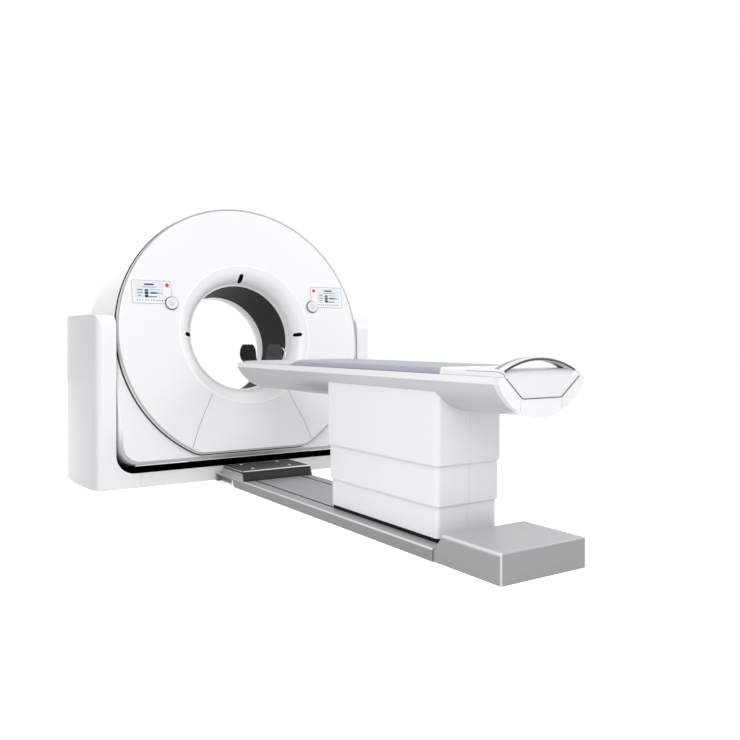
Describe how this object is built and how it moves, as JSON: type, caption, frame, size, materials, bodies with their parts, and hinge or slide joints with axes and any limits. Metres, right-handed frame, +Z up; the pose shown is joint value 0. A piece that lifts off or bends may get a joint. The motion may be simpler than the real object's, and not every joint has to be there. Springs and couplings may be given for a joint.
{
  "type": "ct scanner",
  "caption": "Medical CT scanner: ring gantry that tilts in a U-shaped stand, and a lifting patient table with sliding cradle on a floor rail.",
  "frame": {"origin": "on the floor under the isocentre, in the middle of the stand's floor plate", "axes": "+X to the right seen from the table's foot end, +Y from the table into the gantry, +Z up"},
  "size_m": [2.1798, 3.9282, 1.9356],
  "materials": {
    "white_cover": "satin white moulded cover",
    "panel_white": "satin white",
    "pale_grey": "matt light grey",
    "hull_grey": "satin light grey",
    "cradle_white": "satin white composite",
    "liner_dark": "matt near black",
    "trim_grey": "satin grey",
    "window_dark": "gloss dark",
    "screen_glass": "gloss screen, lit",
    "key_print": "matt printed keys",
    "stop_red": "gloss red",
    "strip_metal": "satin",
    "frame_steel": "painted steel weldment",
    "bearing_steel": "ground steel",
    "motor_grey": "painted housing",
    "rotor_alloy": "machined",
    "tube_steel": "brushed",
    "detector_grey": "painted",
    "rail_alloy": "satin anodised",
    "block_metal": "satin silver grey",
    "bright_chrome": "polished",
    "screw_steel": "brushed",
    "bracket_black": "gloss dark cover",
    "column_alloy": "drawn",
    "hoop_silver": "satin with a darker stripe",
    "mat_cloth": "matt coated cloth",
    "holder_dark": "matt dark composite"
  },
  "bodies": {
    "stand": {"base_frame": "frame_steel", "left_pillar_cover": "white_cover", "right_pillar_cover": "white_cover", "base_front_cover": "white_cover", "base_rear_cover": "white_cover", "trough_liner": "liner_dark", "tilt_bearings": "bearing_steel", "tilt_gear_motor": "motor_grey", "rail_bed": "rail_alloy", "rail_head_block": "rail_alloy", "anchor_fittings": "bright_chrome", "rail_bracket": "bracket_black", "bracket_screws": "screw_steel", "bracket_cheeks": "rail_alloy", "rail_end_block": "block_metal"},
    "gantry": {"gantry_shell": "white_cover", "front_cover": "white_cover", "lower_front_panel": "white_cover", "trim_ring": "trim_grey", "front_flare": "white_cover", "laser_windows": "window_dark", "bore_liner": "liner_dark", "rear_bore_ring": "white_cover", "rear_flare": "pale_grey", "touch_strip": "strip_metal", "stator_frame": "frame_steel", "tilt_pins": "frame_steel", "main_bearing_outer": "bearing_steel", "ring_motor_stator": "motor_grey", "control_panels": "panel_white", "screens": "screen_glass", "touch_keys": "key_print"},
    "rotor": {"rotor_disc": "rotor_alloy", "main_bearing_inner": "bearing_steel", "slip_ring": "motor_grey", "xray_source": "tube_steel", "detector_arc": "detector_grey", "generator": "motor_grey", "cooler": "motor_grey"},
    "stop_left": {"stop_button_left": "stop_red"},
    "stop_right": {"stop_button_right": "stop_red"},
    "knob_left": {"knob_left": "panel_white"},
    "knob_right": {"knob_right": "panel_white"},
    "key_left": {"push_key_left": "panel_white"},
    "key_right": {"push_key_right": "panel_white"},
    "pedestal": {"carriage": "frame_steel", "lower_cover": "white_cover", "lift_column_outer": "column_alloy", "lift_motor": "motor_grey"},
    "pedestal_middle": {"middle_cover": "white_cover", "lift_column_middle": "column_alloy"},
    "table": {"upper_cover": "white_cover", "lift_column_inner": "column_alloy", "table_hull": "hull_grey", "hull_end_cap": "white_cover"},
    "cradle": {"cradle": "cradle_white", "cradle_end_block": "white_cover", "hoop_handle": "hoop_silver", "mattress": "mat_cloth", "head_holder": "holder_dark"}
  },
  "joints": [
    {"name": "gantry_tilt", "type": "hinge", "parent": "stand", "child": "gantry", "pos_m": [0, 0, 0.9686], "axis": [-1, 0, 0], "range_deg": [-39.42, 20.58]},
    {"name": "rotor_spin", "type": "hinge", "parent": "gantry", "child": "rotor", "pos_m": [0, 0, 0.9686], "axis": [0, -0.9865, 0.1637], "continuous": true},
    {"name": "pedestal_travel", "type": "slide", "parent": "stand", "child": "pedestal", "axis": [0, 1, 0], "range_m": [-0.05, 0.9]},
    {"name": "table_lift", "type": "slide", "parent": "pedestal", "child": "table", "axis": [0, 0, 1], "range_m": [-0.32, 0.11]},
    {"name": "pedestal_middle_lift", "type": "slide", "parent": "pedestal", "child": "pedestal_middle", "axis": [0, 0, 1], "range_m": [-0.16, 0.055]},
    {"name": "cradle_travel", "type": "slide", "parent": "table", "child": "cradle", "axis": [0, 1, 0], "range_m": [0, 1.6]},
    {"name": "stop_press_left", "type": "slide", "parent": "gantry", "child": "stop_left", "axis": [0, 0.9865, -0.1637], "range_m": [0, 0.004], "stiffness_N_per_m": 1500, "springref_m": -0.002},
    {"name": "knob_turn_left", "type": "hinge", "parent": "gantry", "child": "knob_left", "pos_m": [-0.547, -0.3138, 1.23151], "axis": [0, -0.9865, 0.1637], "continuous": true},
    {"name": "key_press_left", "type": "slide", "parent": "knob_left", "child": "key_left", "axis": [0, 0.9865, -0.1637], "range_m": [0, 0.002], "stiffness_N_per_m": 1500, "springref_m": -0.002},
    {"name": "stop_press_right", "type": "slide", "parent": "gantry", "child": "stop_right", "axis": [0, 0.9865, -0.1637], "range_m": [0, 0.004], "stiffness_N_per_m": 1500, "springref_m": -0.002},
    {"name": "knob_turn_right", "type": "hinge", "parent": "gantry", "child": "knob_right", "pos_m": [0.547, -0.3138, 1.23151], "axis": [0, -0.9865, 0.1637], "continuous": true},
    {"name": "key_press_right", "type": "slide", "parent": "knob_right", "child": "key_right", "axis": [0, 0.9865, -0.1637], "range_m": [0, 0.002], "stiffness_N_per_m": 1500, "springref_m": -0.002}
  ],
  "couplings": [
    {"joint": "pedestal_middle_lift", "follows": "table_lift", "ratio": 0.5}
  ]
}
